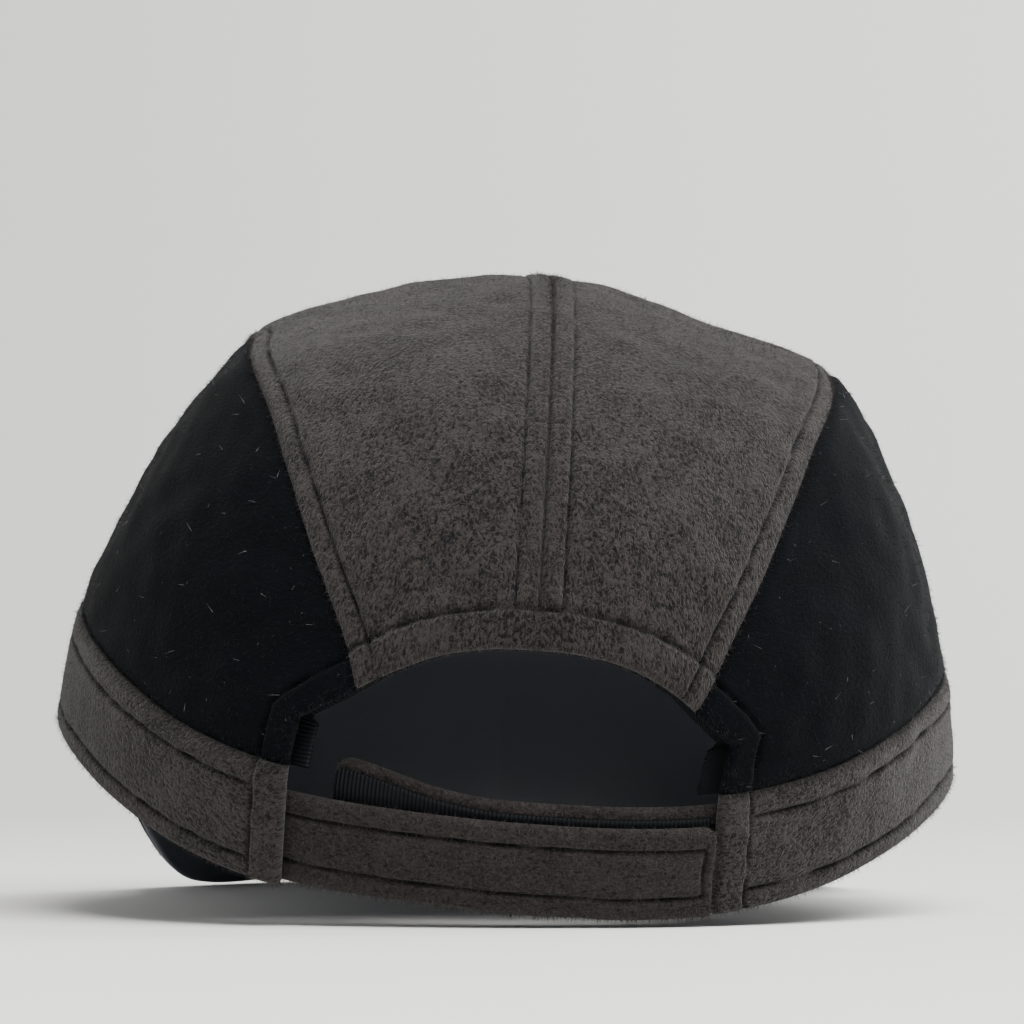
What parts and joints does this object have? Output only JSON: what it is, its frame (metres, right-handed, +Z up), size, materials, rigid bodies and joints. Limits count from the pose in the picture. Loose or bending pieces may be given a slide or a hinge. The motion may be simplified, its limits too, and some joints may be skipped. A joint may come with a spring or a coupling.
{
  "type": "fleece cap",
  "caption": "Soft low fleece cap: grey top in two halves, black sides, grey band, a curved peak, and an arched back opening closed by an overlapping strap.",
  "frame": {"origin": "centre of the bounding box's footprint, on the floor that the cap rests on", "axes": "+Z up from the floor, +Y the way the peak points, +X the wearer's right; the cap rests tipped back on its strap and its peak"},
  "size_m": [0.1828, 0.269, 0.1305],
  "materials": {
    "grey_fleece": "short napped fleece, matte",
    "black_fleece": "short napped fleece, matte",
    "black_lining": "smooth woven lining, matte",
    "black_tape": "ribbed woven tape, matte"
  },
  "bodies": {
    "root": {"top_panel_left": "grey_fleece", "top_panel_right": "grey_fleece", "side_panel_left": "black_fleece", "side_panel_right": "black_fleece", "band": "grey_fleece", "lining": "black_lining", "opening_tape": "black_tape", "strap_outer": "grey_fleece", "strap_inner": "grey_fleece", "loop_tape": "black_tape", "peak_top": "grey_fleece", "peak_under": "black_lining"}
  },
  "joints": []
}
